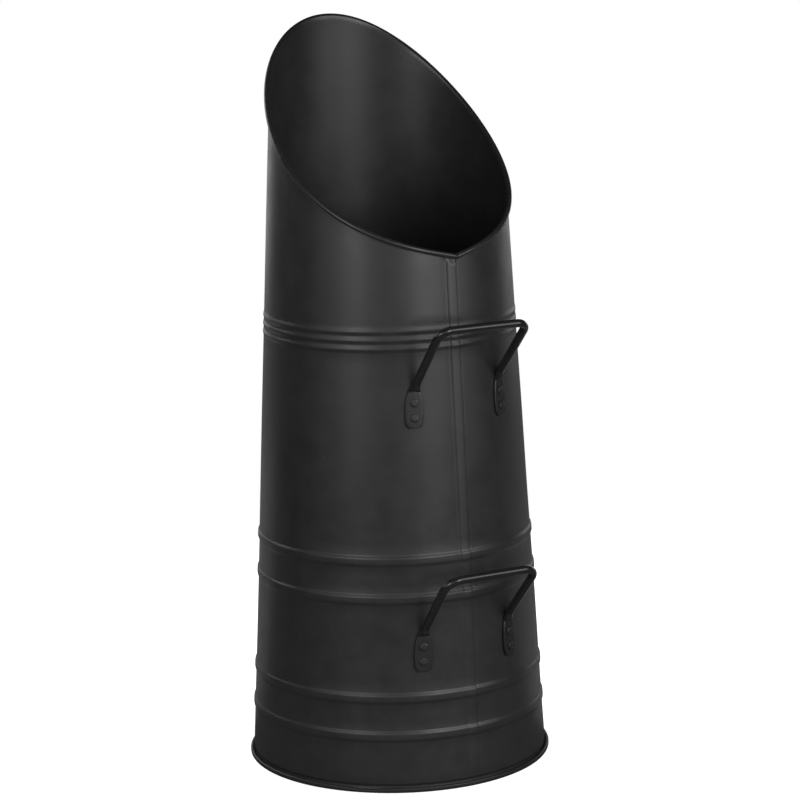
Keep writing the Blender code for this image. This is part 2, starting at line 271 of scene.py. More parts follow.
class HandleSizes(bpy.types.PropertyGroup):
    """Sizes that the two rod handles share, and those of their rivets."""

    rod_radius: length("Rod radius", "Radius of the handle rods", 3.15 * MM)
    tab_thickness: length("Tab thickness", "Thickness of the flattened ends", 2 * MM)
    tab_width: length("Tab width", "Widest part of a flattened end", 14 * MM)
    tab_length: length("Tab length", "Length of a flattened end", 27.8 * MM)
    tab_half_span: length("Half span", "Distance of each tab from the handle's middle", 38 * MM)
    tab_lean: length("Tab lean", "How far each tab leans towards the other", 0.9 * MM)
    shoulder: length("Shoulder", "Length over which the rod flattens", 5.5 * MM)
    leg_inset: length("Leg inset", "How far each leg sets off towards the other", 2 * MM)
    foot_bend: length("Foot bend", "Bend where a leg leaves the wall", 6 * MM)
    rivet_edge: length("Rivet edge", "Distance of the lower rivet from the tab's foot", 7.6 * MM)
    rivet_pitch: length("Rivet pitch", "Distance between the rivets of a tab", 11.4 * MM)
    rivet_radius: length("Rivet radius", "Radius of a rivet's shank", 1.5 * MM)
    head_radius: length("Head radius", "Radius of a rivet's head", 3.2 * MM)
    head_height: length("Head height", "Height of a rivet's head", 1 * MM)
    tail_radius: length("Tail radius", "Radius of a rivet's upset end", 2.6 * MM)
    tail_height: length("Tail height", "Height of a rivet's upset end", 1.3 * MM)


class Finishes(bpy.types.PropertyGroup):
    """Colours of the coats, the wire and the studio."""

    sheet_black: colour("Sheet black", "Powder coat on the body", "303030")
    base_black: colour("Base black", "Powder coat on the base", "272727")
    rod_black: colour("Rod black", "Powder coat on the handles", "292929")
    rivet_black: colour("Rivet black", "Powder coat on the rivets", "282828")
    wire_grey: colour("Wire grey", "Drawn steel wire in the mouth's roll", "9a9895")
    floor_white: colour("Floor white", "Studio floor and backdrop", "f2f2f2")


class Handle(NamedTuple):
    """One handle: its tabs' height, its bar's place, and how far it is from true.

    The handle is turned round the hod, and its bar is swayed aside and droops at its right end.
    """

    name: str
    tab_height: float
    reach: float
    rise: float
    bar_half_span: float
    corner_bend: float
    turn: float
    sway: float
    droop: float


HANDLES = (
    Handle(
        name="upper",
        tab_height=277.2 * MM,
        reach=38.8 * MM,
        rise=45.7 * MM,
        bar_half_span=38.2 * MM,
        corner_bend=9.8 * MM,
        turn=radians(1.1),
        sway=-3.5 * MM,
        droop=1.6 * MM,
    ),
    Handle(
        name="lower",
        tab_height=92.7 * MM,
        reach=35.2 * MM,
        rise=44.7 * MM,
        bar_half_span=39.2 * MM,
        corner_bend=12 * MM,
        turn=radians(-0.45),
        sway=0,
        droop=1.1 * MM,
    ),
)


def around(angle):
    """Level direction that points away from the axis."""
    return Vector((sin(angle), -cos(angle), 0))


def at_height(height):
    return Vector((0, 0, height))


def taper(hod):
    return (hod.floor_radius - hod.lip_radius) / hod.lip_height


def wall_radius(hod, height):
    return hod.floor_radius - taper(hod) * height


def wall_normal(hod, angle):
    return (around(angle) + at_height(taper(hod))).normalized()


def dent(hod, angle, height):
    """How far the rolled sheet stands off its true cone at a place."""
    place = around(angle) * hod.lip_radius + at_height(height * DENT_CLIMB_SHARE)
    return hod.dent_depth * noise.noise(place / hod.dent_size)


def on_wall(hod, angle, height, proud=0):
    """Point at a distance outside the wall, or inside it where the distance is negative."""
    return around(angle) * (wall_radius(hod, height) + proud) + at_height(height)


def pit(across, below):
    """Depth of the small pit that the folded seam leaves under the roll, beside the joint."""
    distance = hypot(across - PIT_ACROSS, below - PIT_BELOW)
    return PIT_DEPTH * exp(-((distance / PIT_RADIUS) ** 2))


def add_piece(name, mesh, finishes, replaced):
    """Add a finished shape, which rides on the body and stands for CAD nodes."""
    data = bpy.data.meshes.new(name)
    mesh.to_mesh(data)
    mesh.free()
    data.shade_smooth()
    data.set_sharp_from_angle(angle=SHARP_ANGLE)
    data.materials.append(finishes)
    piece = bpy.data.objects.new(name, data)
    bpy.context.collection.objects.link(piece)
    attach(piece, BODY_NAME)
    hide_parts(*replaced)


def drawn_grid(rows, columns, place):
    """A flat grid whose points are carried to their places, with the edges that meet joined."""
    mesh = bmesh.new()
    bmesh.ops.create_grid(mesh, x_segments=columns, y_segments=rows, size=1)
    for vert in mesh.verts:
        column = round((vert.co.x + 1) / 2 * columns)
        row = round((vert.co.y + 1) / 2 * rows)
        vert.co = place(row, column)
    bmesh.ops.remove_doubles(mesh, verts=mesh.verts, dist=MERGE_DISTANCE)
    bmesh.ops.recalc_face_normals(mesh, faces=mesh.faces)
    return mesh


def spun(outline, steps):
    """A closed outline, as radius and height, spun once about Z."""
    mesh = bmesh.new()
    verts = [mesh.verts.new((radius, 0, height)) for radius, height in outline]
    edges = [mesh.edges.new((verts[at - 1], verts[at])) for at in range(len(verts))]
    bmesh.ops.spin(
        mesh,
        geom=verts + edges,
        cent=(0, 0, 0),
        axis=(0, 0, 1),
        angle=2 * pi,
        steps=steps,
        use_merge=True,
    )
    bmesh.ops.remove_doubles(mesh, verts=mesh.verts, dist=MERGE_DISTANCE)
    bmesh.ops.recalc_face_normals(mesh, faces=mesh.faces)
    return mesh


def mouth_height(hod, angle):
    """Height of the roll's centre: a sloping cut, low at the sides, with a dip at the joint."""
    from_joint = abs((angle - hod.joint_angle + pi) % (2 * pi) - pi)
    slope = (hod.lip_height - hod.mouth_front) * (1 - cos(angle)) / 2
    side = hod.mouth_side_dip * sin(angle) ** 2
    return hod.mouth_front + slope - side - hod.joint_dip * exp(-from_joint / hod.joint_fade)


def roll_frame(hod, angle):
    """Centre of the roll, with its outward and upward directions across the mouth's edge."""
    half_step = radians(2)

    def centre(at):
        return on_wall(hod, at, mouth_height(hod, at), hod.roll_radius)

    along = (centre(angle + half_step) - centre(angle - half_step)).normalized()
    out = wall_normal(hod, angle)
    return centre(angle), out, out.cross(along).normalized()


class Row(NamedTuple):
    """One row of points round the hod: its radius at the seam, and the point at each angle."""

    radius: float
    point: Callable


def level_row(radius, height):
    return Row(radius, lambda angle, seam: around(angle) * radius + at_height(height))


def wall_row(hod, height, rise=0, seam_rise=0, inset=0):
    """Row at one height of the wall. The sink left of the seam fades out towards the foot."""
    fine = abs(height - FINE_BEADS_HEIGHT) < FINE_BEADS * hod.fine_pitch
    sunk = min(1, height / SINK_FULL_HEIGHT)

    def point(angle, seam):
        if seam < 0 and angle < hod.joint_angle:
            seam *= sunk
        faded = FINE_FADE * exp(-(((angle - FINE_FADE_PLACE) / FINE_FADE_SPAN) ** 2)) if fine else 0
        off = rise * (1 - faded) + seam * seam_rise + dent(hod, angle, height) - inset
        return on_wall(hod, angle, height, off)

    return Row(wall_radius(hod, height), point)


def crown_row(hod, climb, drop, proud, seam_rise):
    """Row part of the way up from the fine beads to a line that runs below the mouth's edge."""

    def point(angle, seam):
        top = mouth_height(hod, angle) - drop
        height = CROWN_FOOT + (top - CROWN_FOOT) * climb
        below = mouth_height(hod, angle) - height
        off = proud + seam * seam_rise + dent(hod, angle, height) * min(1, below / MOUTH_STIFFENING)
        off -= pit((angle - hod.joint_angle) * hod.lip_radius, below)
        return on_wall(hod, angle, height, off)

    return Row(wall_radius(hod, hod.mouth_front), point)


def roll_row(hod, radius, rolled):
    """Row in the roll, turned from the wall over the wire and outwards."""

    def point(angle, seam):
        centre, out, up = roll_frame(hod, angle)
        groove = ROLL_GROOVE * exp(-(((angle - hod.joint_angle) / ROLL_GROOVE_SPAN) ** 2))
        return centre + (out * cos(pi - rolled) + up * sin(pi - rolled)) * (radius - groove)

    return Row(wall_radius(hod, hod.mouth_front), point)


def bead_shape(share):
    """Share of a wide bead's rise at a share of its width: two soft edges and a low crown."""
    climb = min(1, min(share, 1 - share) / BEAD_EDGE_SHARE)
    crown = 1 - BEAD_CROWN_SHARE * (1 - sin(pi * share))
    return climb * climb * (3 - 2 * climb) * crown


def bead_levels(hod):
    """Height and rise of each row over the beads, from the bottom up."""
    levels = []
    for pair_height in (LOWER_PAIR_HEIGHT, MIDDLE_PAIR_HEIGHT):
        for side in (-1, 1):
            centre = pair_height + side * hod.pair_pitch / 2
            for row in range(BEAD_ROWS + 1):
                share = row / BEAD_ROWS
                rise = bead_shape(share) * hod.bead_rise
                levels.append((centre + (share - 0.5) * hod.bead_width, rise))
    rows = FINE_BEADS * FINE_BEAD_ROWS
    for row in range(rows + 1):
        share = row / FINE_BEAD_ROWS
        height = FINE_BEADS_HEIGHT + (share - FINE_BEADS / 2) * hod.fine_pitch
        levels.append((height, sin(pi * share) ** 2 * hod.fine_rise))
    return levels


def wall_levels(hod, foot):
    """The neck's and the beads' rows, with plain rows between them for the sheet's waves."""
    levels = []
    for row in range(NECK_ROWS + 1):
        share = row / NECK_ROWS
        levels.append((foot + share * NECK_WIDTH, -NECK_DEPTH * cos(pi / 2 * share) ** 2))
    for height, rise in bead_levels(hod) + [(CROWN_FOOT, 0)]:
        last = levels[-1][0]
        plain = int((height - last) / PLAIN_ROW_PITCH)
        for step in range(plain):
            levels.append((last + (height - last) * (step + 1) / (plain + 1), 0))
        levels.append((height, rise))
    return levels


def body_rows(hod):
    """Rows over the whole sheet: flange, outside, roll, inside, and back under the flange."""
    flange_foot = hod.sheet + SEAT_GAP
    flange_radius = hod.floor_radius + 2 * SEAT_GAP + hod.sheet
    flange_top = hod.rim_height - hod.sheet - SEAT_GAP
    wall_foot = flange_foot + hod.sheet
    neck_foot = hod.rim_height + SEAT_GAP
    roll_outside = hod.roll_radius + hod.sheet
    notch = roll_outside + SEAM_NOTCH
    rows = [
        level_row(flange_radius + hod.sheet, flange_foot),
        level_row(flange_radius + hod.sheet, flange_top),
        level_row(flange_radius, flange_top),
        level_row(flange_radius, wall_foot),
        wall_row(hod, wall_foot),
    ]
    for height, rise in wall_levels(hod, neck_foot):
        pressed = SEAM_FOOT_SHARE + (1 - SEAM_FOOT_SHARE) * min(1, height / SEAM_FULL_HEIGHT)
        seam_rise = hod.seam_rise * pressed if height > neck_foot + NECK_WIDTH else 0
        rows.append(wall_row(hod, height, rise, seam_rise))
    climbs = [1 - (1 - step / CROWN_ROWS) ** CROWN_CROWDING for step in range(1, CROWN_ROWS + 1)]
    for climb in climbs:
        rows.append(crown_row(hod, climb, notch + SEAM_END, 0, hod.seam_rise))
    rows.append(crown_row(hod, 1, notch, 0, 0))
    turns = [ROLL_TURN * step / ROLL_ROWS for step in range(ROLL_ROWS + 1)]
    rows += [roll_row(hod, hod.roll_radius, rolled) for rolled in turns]
    rows += [roll_row(hod, roll_outside, rolled) for rolled in reversed(turns)]
    for climb in climbs[::-2]:
        rows.append(crown_row(hod, climb, notch, -hod.sheet, 0))
    for height, rise in reversed(wall_levels(hod, neck_foot)[::2]):
        rows.append(wall_row(hod, height, rise, inset=hod.sheet))
    rows.append(wall_row(hod, flange_foot, inset=hod.sheet))
    return rows


def body_mesh(hod):
    """The sheet, with columns crowded together over the seam strip."""
    rows = body_rows(hod)
    seam = len(SEAM_OUTLINE_SHARES)
    even = [2 * pi * step / BODY_COLUMNS for step in range(FIRST_COLUMN, LAST_COLUMN + 1)]

    def place(row, column):
        here = rows[row % len(rows)]
        column %= seam + len(even)
        if column >= seam:
            return here.point(even[column - seam], 0)
        across, rise = SEAM_OUTLINE_SHARES[column]
        return here.point(hod.joint_angle + across * hod.seam_width / here.radius, rise)

    mesh = drawn_grid(len(rows), seam + len(even), place)
    mesh.normal_update()
    dullness = mesh.verts.layers.float.new("dullness")
    inside = mesh.verts.layers.float.new("inside")
    for vert in mesh.verts:
        angle = atan2(vert.co.x, -vert.co.y)
        on_roll = vert.co.z > mouth_height(hod, angle) - hod.roll_radius
        # Painted shade: faces that look into the hod are marked, and the coat is painted darker
        # there
        vert[inside] = vert.normal.dot(around(angle)) < 0
        vert[dullness] = ROLL_DULLNESS if on_roll else 0
    return mesh


def base_mesh(hod):
    """Disc on the floor whose edge turns up, over the body's flange and down inside it."""
    sheet = hod.sheet
    rim = hod.floor_radius + 3 * SEAT_GAP + 3 * sheet
    lip = hod.floor_radius + SEAT_GAP
    lip_foot = 2 * sheet + 2 * SEAT_GAP
    top = hod.rim_height
    half_fold = (rim - lip) / 2
    outline = [(0, 0)]
    for step in range(FOLD_ROWS // 2 + 1):
        angle = pi * step / FOLD_ROWS
        outline.append((rim - half_fold * (1 - sin(angle)), half_fold * (1 - cos(angle))))
    for step in range(FOLD_ROWS + 1):
        angle = pi * step / FOLD_ROWS
        outline.append((rim - half_fold * (1 - cos(angle)), top - half_fold * (1 - sin(angle))))
    outline += [
        (lip, lip_foot),
        (lip + sheet, lip_foot),
        (lip + sheet, top - sheet),
        (rim - sheet, top - sheet),
        (rim - sheet, sheet),
        (0, sheet),
    ]
    mesh = spun(outline, BODY_COLUMNS)
    corners = [edge for edge in mesh.edges if len(edge.link_faces) == 2]
    corners = [edge for edge in corners if edge.calc_face_angle(0) > FOLD_CORNER]
    bmesh.ops.bevel(
        mesh,
        geom=corners,
        offset=sheet * FOLD_ROUNDING,
        segments=3,
        profile=0.5,
        affect="EDGES",
        material=-1,
    )
    for vert in mesh.verts:
        if vert.co.z > sheet and hypot(vert.co.x, vert.co.y) > lip:
            angle = atan2(vert.co.x, -vert.co.y)
            wave = RIM_WAVE * noise.noise(around(angle) * RIM_WAVES)
            knock = RIM_KNOCK * exp(-(((angle - RIM_KNOCK_PLACE) / RIM_KNOCK_SPAN) ** 2))
            vert.co.z -= (abs(wave) + knock) * (vert.co.z - sheet) / (top - sheet)
    return mesh


def tab_frame(hod, sizes, handle, side=1):
    """Foot of a tab on the wall, with its directions away from the bar, up the wall and out."""
    radius = wall_radius(hod, handle.tab_height + sizes.tab_length / 2)
    angle = side * asin(sizes.tab_half_span / radius)
    across = around(angle + pi / 2) * side
    up = (at_height(1) - around(angle) * taper(hod)).normalized()
    return on_wall(hod, angle, handle.tab_height), across, up, wall_normal(hod, angle)


def bend(before, corner, after, radius):
    """Points of the arc that rounds a corner of the rod's centre line."""
    arrive = (corner - before).normalized()
    leave = (after - corner).normalized()
    total = arrive.angle(leave)
    side = (leave - arrive * arrive.dot(leave)).normalized()
    start = corner - arrive * radius * tan(total / 2)
    points = []
    for step in range(BEND_ROWS + 1):
        angle = total * step / BEND_ROWS
        points.append(start + (arrive * sin(angle) + side * (1 - cos(angle))) * radius)
    return points


def between(shares, place):
    """Value at a place of a table of shares, in a straight line between its points."""
    for (low, here), (high, there) in zip(shares, shares[1:]):
        if place <= high:
            part = (place - low) / (high - low)
            return here + (there - here) * part
    return shares[-1][1]


class Station(NamedTuple):
    """Cross-section of a handle at a place on its centre line."""

    centre: Vector
    width: float
    thickness: float
    squareness: float


def handle_stations(hod, sizes, handle):
    """Sections along half a handle, from the tab's foot to the middle of the bar."""
    foot, across, up, out = tab_frame(hod, sizes, handle)
    tab_back = foot + out * (SEAT_GAP + sizes.tab_thickness / 2)
    flat, rod = sizes.tab_thickness, 2 * sizes.rod_radius
    stations = []
    for row in range(TAB_ROWS + 1):
        place = row / TAB_ROWS
        centre = tab_back + (up * sizes.tab_length - across * sizes.tab_lean) * place
        width = between(TAB_OUTLINE_SHARES, place) * sizes.tab_width
        if row == 0:
            narrow, thin = width - 2 * TAB_EDGE, flat - 2 * TAB_EDGE
            stations.append(Station(centre, narrow, thin, TAB_SQUARENESS))
            centre = centre + up * TAB_EDGE
        stations.append(Station(centre, width, flat, TAB_SQUARENESS))
    rod_back = foot + out * (SEAT_GAP + sizes.rod_radius)
    heel = rod_back + up * (sizes.tab_length + sizes.shoulder) - across * sizes.leg_inset
    bar_depth = wall_radius(hod, heel.z) + handle.reach
    corner = Vector((handle.bar_half_span, -bar_depth, heel.z + handle.rise))
    middle = Vector((0, corner.y, corner.z))
    heel_bend = bend(heel - up * sizes.tab_length, heel, corner, sizes.foot_bend)
    last = stations[-1]
    for step in range(1, SHOULDER_ROWS):
        share = step / SHOULDER_ROWS
        swell = share * share * (3 - 2 * share)
        centre = last.centre.lerp(heel_bend[0], share)
        width = last.width + (rod - last.width) * share
        thickness = flat + (rod - flat) * swell
        squareness = TAB_SQUARENESS + (ROD_SQUARENESS - TAB_SQUARENESS) * swell
        stations.append(Station(centre, width, thickness, squareness))
    line = heel_bend + bend(heel, corner, middle, handle.corner_bend)
    end = line[-1]
    line += [end.lerp(middle, share) for share in (1 / 3, 2 / 3, 1)]
    stations += [Station(centre, rod, rod, ROD_SQUARENESS) for centre in line]
    return stations, across


def section_point(station, side, depth, step):
    """Point on a section that is round where the squareness is 2 and boxy where it is high."""
    angle = 2 * pi * step / ROD_SIDES
    power = 2 / station.squareness
    x = abs(cos(angle)) ** power * (1 if cos(angle) >= 0 else -1)
    y = abs(sin(angle)) ** power * (1 if sin(angle) >= 0 else -1)
    return station.centre + side * x * station.width / 2 + depth * y * station.thickness / 2


def handle_mesh(hod, sizes, handle):
    """Half a handle, drawn out from its tab to the middle of its bar, and mirrored there."""
    stations, side = handle_stations(hod, sizes, handle)
    centres = [station.centre for station in stations]
    frames = []
    for here in range(len(stations)):
        before = centres[max(here - 1, 0)]
        after = centres[min(here + 1, len(centres) - 1)]
        along = (after - before).normalized()
        side = (side - along * side.dot(along)).normalized()
        frames.append((side, along.cross(side)))

    def place(row, column):
        return section_point(stations[row], *frames[row], column % ROD_SIDES)

    mesh = drawn_grid(len(stations) - 1, ROD_SIDES, place)
    foot = [edge for edge in mesh.edges if edge.is_boundary and edge.verts[0].co.x > MM]
    bmesh.ops.holes_fill(mesh, edges=foot)
    both = mesh.verts[:] + mesh.edges[:] + mesh.faces[:]
    bmesh.ops.mirror(mesh, geom=both, axis="X", merge_dist=MERGE_DISTANCE)
    bmesh.ops.recalc_face_normals(mesh, faces=mesh.faces)
    turned = Matrix.Rotation(handle.turn, 4, "Z")
    bmesh.ops.transform(mesh, matrix=turned, verts=mesh.verts)
    bar_height = centres[-1].z
    dullness = mesh.verts.layers.float.new("dullness")
    for vert in mesh.verts:
        vert[dullness] = TAB_DULLNESS if vert.co.z < handle.tab_height + sizes.tab_length else 0
        lift = min(1, max(0, (vert.co.z - bar_height) / handle.rise + 1))
        vert.co.x += handle.sway * lift
        vert.co.z -= handle.droop * lift * (1 + vert.co.x / handle.bar_half_span) / 2
    return mesh


def rivet_places(hod, sizes, handle):
    """Name and place of each rivet of a handle, with Z pointing out of the wall."""
    places = []
    turned = Matrix.Rotation(handle.turn, 4, "Z")
    for side_name, side in (("left", -1), ("right", 1)):
        foot, across, up, out = tab_frame(hod, sizes, handle, side)
        for row_name, row in (("bottom", 0), ("top", 1)):
            climb = sizes.rivet_edge + row * sizes.rivet_pitch
            point = foot + up * climb - across * sizes.tab_lean * climb / sizes.tab_length
            facing = out.to_track_quat("Z", "Y").to_matrix().to_4x4()
            place = turned @ Matrix.Translation(point) @ facing
            places.append((f"rivet_{handle.name}_{side_name}_{row_name}", place))
    return places


def rivet_mesh(hod, sizes, place, seed):
    """Tail inside the wall, shank, and a low head that the hammer left a little uneven."""
    tail_seat = -hod.sheet - SEAT_GAP
    head_seat = 2 * SEAT_GAP + sizes.tab_thickness
    tail, head = sizes.tail_radius, sizes.head_radius
    outline = [(0, tail_seat - sizes.tail_height)]
    for across, up in TAIL_OUTLINE_SHARES:
        outline.append((tail * across, tail_seat - sizes.tail_height * up))
    outline += [
        (sizes.rivet_radius, tail_seat),
        (sizes.rivet_radius, head_seat),
        (head, head_seat),
    ]
    for step in range(1, HEAD_ROWS + 1):
        angle = pi / 2 * step / HEAD_ROWS
        radius = head * cos(angle) ** HEAD_FLATNESS
        outline.append((radius, head_seat + sizes.head_height * sin(angle) ** HEAD_FLATNESS))
    mesh = spun(outline, RIVET_SIDES)
    for vert in mesh.verts:
        if vert.co.z > head_seat + sizes.head_height / 2:
            blow = noise.noise(vert.co / HAMMER_SIZE + Vector((seed, 0, 0)))
            vert.co.z -= abs(blow) * HAMMER_DEPTH
    bmesh.ops.transform(mesh, matrix=place, verts=mesh.verts)
    return mesh


def add_node(tree, kind, settings=(), values=(), **inputs):
    """A node with its settings, and a value or a link for its inputs, in their order or by name."""
    node = tree.nodes.new(kind)
    for name, value in dict(settings).items():
        setattr(node, name, value)
    filled = list(zip(node.inputs, values))
    filled += [(node.inputs[name.replace("_", " ")], value) for name, value in inputs.items()]
    for socket, value in filled:
        if isinstance(value, bpy.types.NodeSocket):
            tree.links.new(value, socket)
        else:
            socket.default_value = value
    return node


def new_material(name):
    """An empty material, and its node tree."""
    material = bpy.data.materials.new(name)
    material.use_nodes = True
    material.node_tree.nodes.clear()
    return material, material.node_tree


def dust(tree, place):
    """Share of pale dust at each place: small round specks, in some cells of a coarse pattern."""
    cells = add_node(tree, "ShaderNodeTexVoronoi", Vector=place, Scale=1 / DUST_SPACING).outputs
    speck = add_node(
        tree,
        "ShaderNodeMapRange",
        Value=cells["Distance"],
        From_Min=DUST_RADIUS / DUST_SPACING,
        From_Max=DUST_RADIUS / DUST_SPACING / 2,
    )
    chosen = add_node(
        tree,
        "ShaderNodeMapRange",
        Value=cells["Color"],
        From_Min=1 - DUST_SHARE,
        From_Max=1 - DUST_SHARE / 2,
        To_Max=DUST_STRENGTH,
    )
    both = [speck.outputs["Result"], chosen.outputs["Result"]]
    return add_node(tree, "ShaderNodeMath", {"operation": "MULTIPLY"}, both).outputs[0]


def powder_coat(name, black, roughness, peel):
    """Powder coat, sprayed on steel and baked: satin black, with a fine orange peel and some dust.

    Its tone and its shine are a little cloudy, as from handling, and the dust shows as pale specks.
    It is duller on the forged tabs than on the rods, rubbed shinier on the mouth's roll, and
    painted darker inside the hod, as painted shade.
    """
    material, tree = new_material(name)
    place = add_node(tree, "ShaderNodeTexCoord").outputs["Object"]
    cloud = add_node(
        tree, "ShaderNodeTexNoise", Vector=place, Scale=1 / CLOUD_SIZE, Detail=3.0, Roughness=0.6
    ).outputs["Fac"]
    grain = add_node(
        tree, "ShaderNodeTexNoise", Vector=place, Scale=1 / PEEL_SIZE, Detail=2.0, Roughness=0.5
    ).outputs["Fac"]
    shine = add_node(
        tree,
        "ShaderNodeMapRange",
        Value=cloud,
        From_Min=CLOUD_THIN,
        From_Max=CLOUD_THICK,
        To_Min=roughness - CLOUDINESS,
        To_Max=roughness + CLOUDINESS,
    ).outputs["Result"]
    worn = add_node(tree, "ShaderNodeAttribute", {"attribute_name": "dullness"}).outputs["Fac"]
    dull = add_node(tree, "ShaderNodeMath", {"operation": "ADD"}, [worn, shine])
    smudge = add_node(
        tree,
        "ShaderNodeMapRange",
        Value=cloud,
        From_Min=CLOUD_THIN,
        From_Max=CLOUD_THICK,
        To_Min=1 - SMUDGES,
        To_Max=1 + SMUDGES,
    ).outputs["Result"]
    # Painted shade: the coat's tone is lowered by a share where the faces look into the hod
    inside = add_node(tree, "ShaderNodeAttribute", {"attribute_name": "inside"}).outputs["Fac"]
    shaded = [inside, -PAINTED_INSIDE_SHADE, smudge]
    level = add_node(tree, "ShaderNodeMath", {"operation": "MULTIPLY_ADD"}, shaded)
    coat = add_node(
        tree, "ShaderNodeVectorMath", {"operation": "SCALE"}, [black], Scale=level.outputs[0]
    )
    tone = add_node(
        tree,
        "ShaderNodeMix",
        {"data_type": "RGBA"},
        Factor=dust(tree, place),
        A=coat.outputs[0],
        B=(*linear(DUST_GREY), 1),
    )
    bumps = add_node(
        tree, "ShaderNodeBump", Height=grain, Strength=1.0, Distance=peel
    ).outputs["Normal"]
    shader = add_node(
        tree,
        "ShaderNodeBsdfPrincipled",
        Base_Color=tone.outputs["Result"],
        Roughness=dull.outputs[0],
        Normal=bumps,
        IOR=COAT_IOR,
    )
    add_node(tree, "ShaderNodeOutputMaterial", Surface=shader.outputs["BSDF"])
    return material


def drawn_steel(name, grey):
    """Mild steel wire, drawn and left bare: a soft metal shine with fine lines."""
    material, tree = new_material(name)
    place = add_node(tree, "ShaderNodeTexCoord").outputs["Object"]
    lines = add_node(
        tree, "ShaderNodeTexNoise", Vector=place, Scale=1 / WIRE_GRAIN, Detail=3.0
    ).outputs["Fac"]
    shine = add_node(
        tree, "ShaderNodeMapRange", Value=lines, To_Min=WIRE_SMOOTH, To_Max=WIRE_ROUGH
    )
    shader = add_node(
        tree,
        "ShaderNodeBsdfPrincipled",
        Base_Color=(*grey, 1),
        Metallic=1.0,
        Roughness=shine.outputs["Result"],
    )
    add_node(tree, "ShaderNodeOutputMaterial", Surface=shader.outputs["BSDF"])
    return material


class HodOperator(bpy.types.Operator):
    """What the steps share: the sizes and the finishes that they read"""

    bl_options = {"REGISTER", "UNDO"}

    @property
    def hod(self):
        return bpy.context.scene.hod_sizes

    @property
    def sizes(self):
        return bpy.context.scene.handle_sizes

    @property
    def finishes(self):
        return bpy.context.scene.hod_finishes


class HOD_OT_body(HodOperator):
    """Roll the body from one sheet, with its beads, seam and wired mouth"""

    bl_idname = "hod.body"
    bl_label = "Body"

    def execute(self, context):
        coat = powder_coat("powder_coated_sheet", self.finishes.sheet_black, *SHEET_COAT)
        add_piece("body", body_mesh(self.hod), coat, ["body_sheet"])
        return {"FINISHED"}


class HOD_OT_base(HodOperator):
    """Fold the base's edge over the body's flange"""

    bl_idname = "hod.base"
    bl_label = "Base"

    def execute(self, context):
        coat = powder_coat("powder_coated_base", self.finishes.base_black, *BASE_COAT)
        add_piece("base", base_mesh(self.hod), coat, ["base_plate"])
        return {"FINISHED"}


class HOD_OT_wire(HodOperator):
    """Give the wire in the mouth's roll its bare steel"""

    bl_idname = "hod.wire"
    bl_label = "Wire"

    def execute(self, context):
        steel = drawn_steel("drawn_steel_wire", self.finishes.wire_grey)
        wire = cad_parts["rim_wire"]
        wire.data.materials.clear()
        wire.data.materials.append(steel)
        return {"FINISHED"}


class HOD_OT_handles(HodOperator):
    """Bend the two rod handles and flatten their ends"""

    bl_idname = "hod.handles"
    bl_label = "Handles"

    def execute(self, context):
        coat = powder_coat("powder_coated_rod", self.finishes.rod_black, *ROD_COAT)
        for handle in HANDLES:
            mesh = handle_mesh(self.hod, self.sizes, handle)
            add_piece(f"{handle.name}_handle", mesh, coat, [f"handle_{handle.name}"])
        return {"FINISHED"}


class HOD_OT_rivets(HodOperator):
    """Set the rivets, two in each tab"""

    bl_idname = "hod.rivets"
    bl_label = "Rivets"

    def execute(self, context):
        coat = powder_coat("powder_coated_rivet", self.finishes.rivet_black, *RIVET_COAT)
        for handle in HANDLES:
            for seed, (node, place) in enumerate(rivet_places(self.hod, self.sizes, handle)):
                mesh = rivet_mesh(self.hod, self.sizes, place, seed)
                add_piece(f"{node}_head", mesh, coat, [node])
        return {"FINISHED"}


# The camera's place and aim, and its focal length as a share of the picture's width
CAMERA_DISTANCE = 2241.95 * MM
CAMERA_HEIGHT = 739.79 * MM
CAMERA_AZIMUTH = radians(30.6)
CAMERA_YAW = radians(0.166)
CAMERA_PITCH = radians(11.632)
CAMERA_ROLL = radians(1.342)
FOCAL_SHARE = 2960.89 / 800
SENSOR = 36


def make_camera():
    """Camera to the left of the handles, looking a little down."""
    data = bpy.data.cameras.new("camera")
    data.sensor_width = SENSOR
    data.lens = FOCAL_SHARE * SENSOR
    camera = bpy.data.objects.new("camera", data)
    bpy.context.collection.objects.link(camera)
    stand = Matrix.Rotation(-CAMERA_AZIMUTH, 4, "Z")
    stand = stand @ Matrix.Translation((0, -CAMERA_DISTANCE, CAMERA_HEIGHT))
    aim = Matrix.Rotation(-CAMERA_YAW, 4, "Z") @ Matrix.Rotation(pi / 2 - CAMERA_PITCH, 4, "X")
    camera.matrix_world = stand @ aim @ Matrix.Rotation(-CAMERA_ROLL, 4, "Z")
    bpy.context.scene.camera = camera


class Softbox(NamedTuple):
    """A soft lamp that faces the hod. Its azimuth counts from the camera, to the right."""

    name: str
    azimuth: float
    elevation: float
    width: float
    height: float
    power: float


# Lamps, all at one distance from a point on the hod's axis that they face
LAMP_DISTANCE = 1.7
LAMP_AIM_HEIGHT = 0.3
SOFTBOXES = (
    Softbox("key_softbox", radians(30), radians(14), 0.5, 0.9, 7),
    Softbox("right_softbox", radians(56), radians(14), 1.15, 0.9, 8.4),
    Softbox("left_softbox", radians(-30), radians(14), 0.5, 0.9, 5.6),
    Softbox("far_left_softbox", radians(-53), radians(12), 0.9, 0.9, 2.2),
    Softbox("front_softbox", radians(0), radians(12), 1.3, 0.9, 2.4),
    Softbox("rear_left_softbox", radians(240), radians(25), 0.9, 0.9, 7),
)


